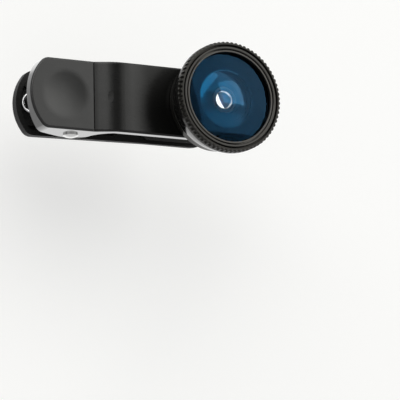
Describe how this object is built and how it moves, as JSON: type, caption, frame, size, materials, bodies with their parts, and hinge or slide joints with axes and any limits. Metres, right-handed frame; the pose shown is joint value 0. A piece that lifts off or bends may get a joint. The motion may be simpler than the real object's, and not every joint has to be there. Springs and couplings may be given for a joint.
{
  "type": "clip-on phone lens",
  "caption": "Sprung clip that holds a wide-angle lens with a knurled rim over a close-up lens in front of a phone's camera.",
  "frame": {"origin": "where the lens axis meets the face of the upper jaw pad, which lies on the phone round its camera", "axes": "+Z along the lens axis away from the phone, +X along the clip from the grip end to the jaw tip, +Y across the clip"},
  "size_m": [0.0581, 0.026, 0.026],
  "materials": {
    "clip_plastic": "moulded black, satin with glossy side walls",
    "pad_rubber": "soft matt rubber",
    "bright_steel": "polished nickel plate",
    "spring_steel": "drawn bright wire",
    "black_metal": "black anodised, turned",
    "bright_ring": "turned bright, bevel polished",
    "baffle_plastic": "matt black",
    "clear_glass": "polished, coated",
    "coated_glass": "polished with a blue coating"
  },
  "bodies": {
    "upper_clip": {"upper_clip_shell": "clip_plastic", "upper_jaw_pad": "pad_rubber", "hinge_pin": "bright_steel", "pin_end_cap": "bright_steel", "torsion_spring": "spring_steel"},
    "lower_clip": {"lower_clip_shell": "clip_plastic", "lower_jaw_pad": "pad_rubber"},
    "close_up_glass": {"macro_element": "clear_glass"},
    "close_up_lens": {"macro_barrel": "black_metal", "macro_retaining_ring": "black_metal"},
    "wide_glass": {"front_element": "coated_glass", "rear_element": "clear_glass", "element_spacer": "baffle_plastic", "inner_ring": "bright_ring"},
    "wide_lens": {"wide_barrel": "black_metal", "knurled_front_ring": "black_metal", "front_retaining_ring": "black_metal", "rear_retaining_ring": "black_metal"}
  },
  "joints": [
    {"name": "clip_hinge", "type": "hinge", "parent": "upper_clip", "child": "lower_clip", "pos_m": [-0.0332, 0, -0.0037], "axis": [0, 1, 0], "range_deg": [-10.6, 30], "deforming": ["torsion_spring"]},
    {"name": "close_up_lift", "type": "slide", "parent": "upper_clip", "child": "close_up_glass", "axis": [0, 0, 1], "range_m": [0, 0.0019]},
    {"name": "close_up_screw", "type": "hinge", "parent": "close_up_glass", "child": "close_up_lens", "pos_m": [0, 0, 0], "axis": [0, 0, 1], "range_deg": [0, 900]},
    {"name": "wide_lift", "type": "slide", "parent": "close_up_lens", "child": "wide_glass", "axis": [0, 0, 1], "range_m": [0, 0.0016]},
    {"name": "wide_screw", "type": "hinge", "parent": "wide_glass", "child": "wide_lens", "pos_m": [0, 0, 0], "axis": [0, 0, 1], "range_deg": [0, 720]}
  ],
  "couplings": [
    {"joint": "close_up_lift", "follows": "close_up_screw", "m_per_rad": 0.00011937},
    {"joint": "wide_lift", "follows": "wide_screw", "m_per_rad": 0.00011937}
  ]
}
